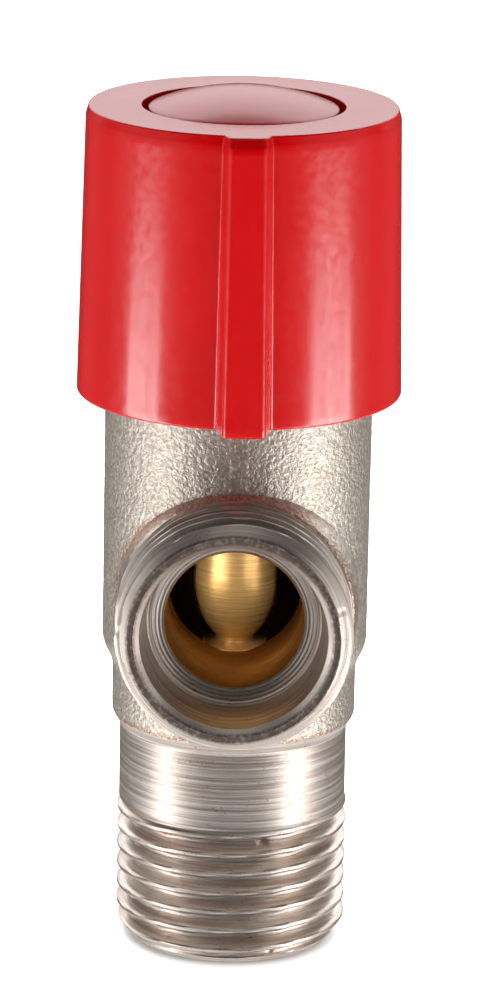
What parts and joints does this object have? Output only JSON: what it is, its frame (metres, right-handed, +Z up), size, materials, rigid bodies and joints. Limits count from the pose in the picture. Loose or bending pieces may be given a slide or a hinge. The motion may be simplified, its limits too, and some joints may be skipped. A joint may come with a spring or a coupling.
{
  "type": "pressure relief valve",
  "caption": "Pressure relief valve in nickel-plated brass with G1/2 male inlet and side outlet, a spring-loaded plunger and a red twist-to-lift knob.",
  "frame": {"origin": "centre of the inlet's end, on the valve axis", "axes": "+Z up the valve axis towards the knob, -Y out of the outlet branch"},
  "size_m": [0.0292, 0.0351, 0.0789],
  "materials": {
    "nickel_body": "nickel plated, blasted on the forging and machined on the neck and threads",
    "brass": "turned",
    "steel": "bright",
    "rubber": "matt",
    "acetal": "moulded",
    "red_plastic": "glossy moulded"
  },
  "bodies": {
    "valve_body": {"body": "nickel_body", "bonnet": "brass", "bonnet_o_ring": "rubber", "stem_bush": "acetal", "adjusting_ring": "brass", "spring_washer": "steel", "spring": "steel", "cam_ring": "acetal"},
    "lifter": {"plunger": "brass", "plunger_o_ring": "rubber", "seat_disc": "rubber", "disc_washer": "steel", "disc_screw": "steel", "spring_seat": "brass", "stem": "brass", "stem_circlip": "steel", "knob_washer": "steel", "knob_screw": "steel"},
    "knob": {"knob": "red_plastic", "knob_cap": "red_plastic", "cam_follower": "acetal"}
  },
  "joints": [
    {"name": "stem_lift", "type": "slide", "parent": "valve_body", "child": "lifter", "axis": [0, 0, 1], "range_m": [0, 0.002], "deforming": ["spring"]},
    {"name": "knob_turn", "type": "hinge", "parent": "lifter", "child": "knob", "pos_m": [0, 0, 0.0702], "axis": [0, 0, 1], "range_deg": [0, 60]}
  ],
  "couplings": [
    {"joint": "knob_turn", "follows": "stem_lift", "rad_per_m": 523.6}
  ]
}
